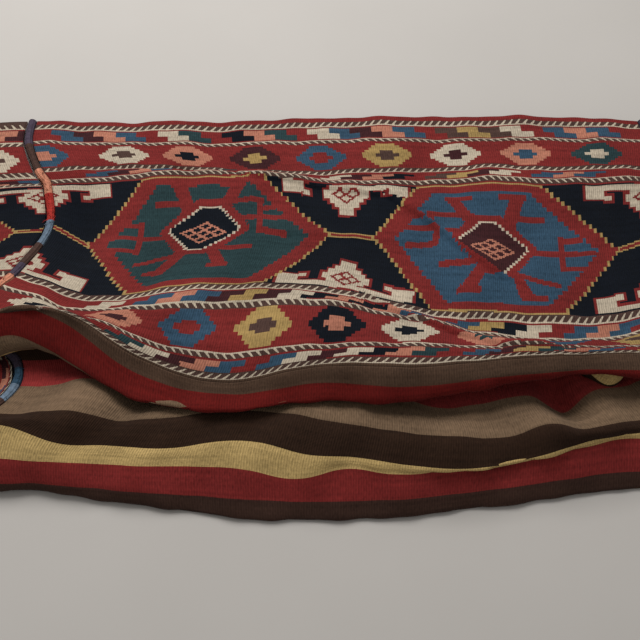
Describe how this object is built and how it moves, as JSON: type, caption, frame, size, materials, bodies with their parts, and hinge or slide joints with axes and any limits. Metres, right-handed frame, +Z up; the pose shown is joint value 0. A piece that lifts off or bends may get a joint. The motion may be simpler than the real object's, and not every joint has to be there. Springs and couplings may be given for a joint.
{
  "type": "kilim bag",
  "caption": "Flat-woven wool bedding bag with patterned panels, a striped bottom and sewn end panels, lying empty and folded on the floor.",
  "frame": {"origin": "on the floor under the middle of the bag's bounding box", "axes": "+Z up, X along the bag's length, -Y towards the striped bottom, +Y towards the open mouth"},
  "size_m": [1.2786, 0.7148, 0.1108],
  "materials": {
    "kilim": "ribbed flat-woven wool, patterned and striped",
    "end_kilim": "ribbed flat-woven wool, patterned",
    "seam_wool": "wrapped wool yarn in several colours"
  },
  "bodies": {
    "root": {"body_cloth": "kilim", "left_end_panel": "end_kilim", "right_end_panel": "end_kilim", "left_seam": "seam_wool", "right_seam": "seam_wool"}
  },
  "joints": []
}
